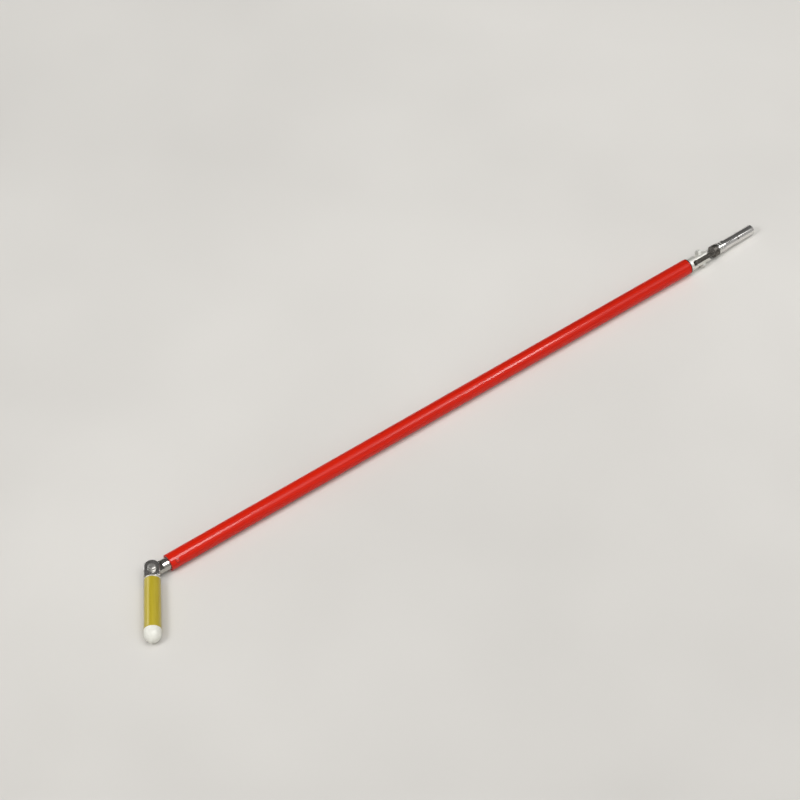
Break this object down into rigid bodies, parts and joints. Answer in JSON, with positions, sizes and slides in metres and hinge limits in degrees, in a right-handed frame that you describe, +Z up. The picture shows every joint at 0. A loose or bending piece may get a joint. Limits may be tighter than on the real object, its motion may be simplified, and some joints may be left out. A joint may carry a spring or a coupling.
{
  "type": "lineman hot stick",
  "caption": "Insulated hot stick: red epoxy-glass pole with a tilting chrome tool shank at the far end and a folding yellow grip with a white domed cap at the near end.",
  "frame": {"origin": "on the axis of the tool shank, where its plain wall starts beside the grooved shoulder", "axes": "+X along the pole from the grip to the tool end, +Z up from the floor that the stick lies on, +Y to the side away from the folded grip"},
  "size_m": [1.5542, 0.15, 0.034],
  "materials": {
    "red_fibreglass": "glossy epoxy-glass tube",
    "core_foam": "rigid closed-cell foam",
    "black_rubber": "matt",
    "light_alloy": "satin cast and machined",
    "zinc_steel": "zinc plated",
    "black_steel": "black oxide",
    "bronze": "sintered",
    "chrome_steel": "polished",
    "plated_steel": "satin plated",
    "nylon": "plain",
    "black_nylon": "plain",
    "red_paint": "glossy",
    "yellow_plastic": "satin moulding",
    "white_plastic": "satin moulding"
  },
  "bodies": {
    "pole": {"pole_tube": "red_fibreglass", "foam_core": "core_foam", "head_seal": "black_rubber", "head_fork": "light_alloy", "head_bolt": "zinc_steel", "head_nut": "zinc_steel", "head_washers": "zinc_steel", "lower_shank": "chrome_steel", "lower_sleeve": "black_nylon", "lower_rivet": "red_paint", "knuckle_bush": "bronze"},
    "head": {"head_tongue": "black_steel", "head_bush": "bronze", "tool_shank": "chrome_steel", "collar_pin": "zinc_steel", "shank_rings": "zinc_steel"},
    "handle": {"handle_fork": "plated_steel", "knuckle_bolt": "zinc_steel", "knuckle_nut": "zinc_steel", "knuckle_washers": "zinc_steel", "grip_ferrule": "light_alloy", "grip_spindle": "zinc_steel", "spindle_washer": "zinc_steel", "spindle_nut": "zinc_steel"},
    "grip": {"grip_sleeve": "yellow_plastic", "front_bush": "nylon", "rear_bush": "nylon", "end_cap": "white_plastic"}
  },
  "joints": [
    {"name": "head_tilt", "type": "hinge", "parent": "pole", "child": "head", "pos_m": [-0.0649, -0.0025, 0.0025], "axis": [0, 0.7071, 0.7071], "range_deg": [-93.12, 86.88]},
    {"name": "handle_fold", "type": "hinge", "parent": "pole", "child": "handle", "pos_m": [-1.3859, -0.0025, 0.0025], "axis": [0, 0, 1], "range_deg": [-148, 32]},
    {"name": "grip_spin", "type": "hinge", "parent": "handle", "child": "grip", "pos_m": [-1.42448, -0.06424, 0.0025], "axis": [-0.5299, -0.848, 0], "continuous": true}
  ]
}
